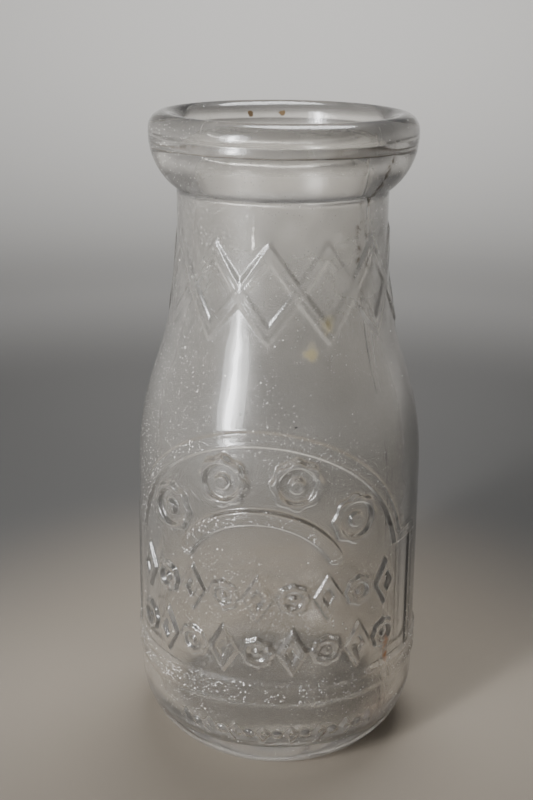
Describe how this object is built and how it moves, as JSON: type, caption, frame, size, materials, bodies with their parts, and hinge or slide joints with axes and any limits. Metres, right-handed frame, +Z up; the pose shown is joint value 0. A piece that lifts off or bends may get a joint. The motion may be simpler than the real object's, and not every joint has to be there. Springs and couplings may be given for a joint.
{
  "type": "milk bottle",
  "caption": "Small clear glass milk bottle with a wide rounded lip, a seat for a paper cap, a lattice round its shoulder and a framed panel of moulded ornaments.",
  "frame": {"origin": "centre of the bottle's foot, on the surface that it stands on", "axes": "+Z up along the bottle's axis; the middle of the moulded panel faces -Y, turned 8 degrees towards -X"},
  "size_m": [0.0648, 0.0646, 0.14],
  "materials": {
    "bottle_glass": "clear pressed-and-blown soda-lime glass with a faint warm grey tint, lightly hazed and scuffed by use"
  },
  "bodies": {
    "root": {"bottle": "bottle_glass"}
  },
  "joints": []
}
